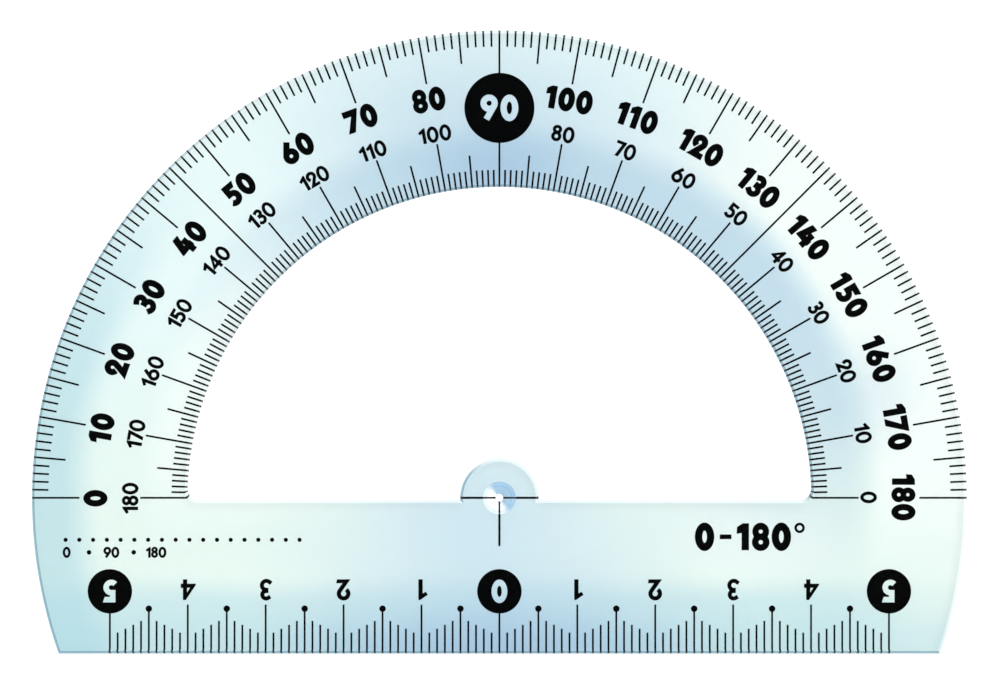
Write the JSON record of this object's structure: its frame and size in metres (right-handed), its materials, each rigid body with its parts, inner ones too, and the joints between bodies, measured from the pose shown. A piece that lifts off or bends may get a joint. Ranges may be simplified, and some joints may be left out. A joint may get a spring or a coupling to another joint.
{
  "type": "protractor",
  "caption": "Half-round clear plastic protractor with a degree scale round its arc, a centimetre rule on its straight edge and a countersunk centre hole.",
  "frame": {"origin": "middle of the plate's bounding box, on the printed underside. The vertex, from which angles are measured, is at X 0, Y -0.020, over the centre hole", "axes": "+X along the ruler edge to the right as the outer numerals are read, +Y from the ruler edge to the 90 degree mark, +Z out of the top face, away from the paper"},
  "size_m": [0.12, 0.08, 0.0018],
  "materials": {
    "clear_plastic": "clear moulded polystyrene with a faint blue-green tint, polished faces",
    "black_ink": "black ink or foil stamped into the underside"
  },
  "bodies": {
    "root": {"plate": "clear_plastic", "disc_90": "black_ink", "disc_0": "black_ink", "disc_5_left": "black_ink", "disc_5_right": "black_ink", "vertex_line_left": "black_ink", "vertex_line_right": "black_ink", "vertex_line_down": "black_ink", "outer_line_0": "black_ink", "inner_line_0": "black_ink", "outer_line_10": "black_ink", "inner_line_10": "black_ink", "outer_line_20": "black_ink", "inner_line_20": "black_ink", "outer_line_30": "black_ink", "inner_line_30": "black_ink", "outer_line_40": "black_ink", "inner_line_40": "black_ink", "outer_line_50": "black_ink", "inner_line_50": "black_ink", "outer_line_60": "black_ink", "inner_line_60": "black_ink", "outer_line_70": "black_ink", "inner_line_70": "black_ink", "outer_line_80": "black_ink", "inner_line_80": "black_ink", "outer_line_100": "black_ink", "inner_line_100": "black_ink", "outer_line_110": "black_ink", "inner_line_110": "black_ink", "outer_line_120": "black_ink", "inner_line_120": "black_ink", "outer_line_130": "black_ink", "inner_line_130": "black_ink", "outer_line_140": "black_ink", "inner_line_140": "black_ink", "outer_line_150": "black_ink", "inner_line_150": "black_ink", "outer_line_160": "black_ink", "inner_line_160": "black_ink", "outer_line_170": "black_ink", "inner_line_170": "black_ink", "outer_line_180": "black_ink", "inner_line_180": "black_ink", "line_45": "black_ink", "line_135": "black_ink", "ruler_line_1_left": "black_ink", "ruler_line_2_left": "black_ink", "ruler_line_3_left": "black_ink", "ruler_line_4_left": "black_ink", "ruler_line_1_right": "black_ink", "ruler_line_2_right": "black_ink", "ruler_line_3_right": "black_ink", "ruler_line_4_right": "black_ink"}
  },
  "joints": []
}
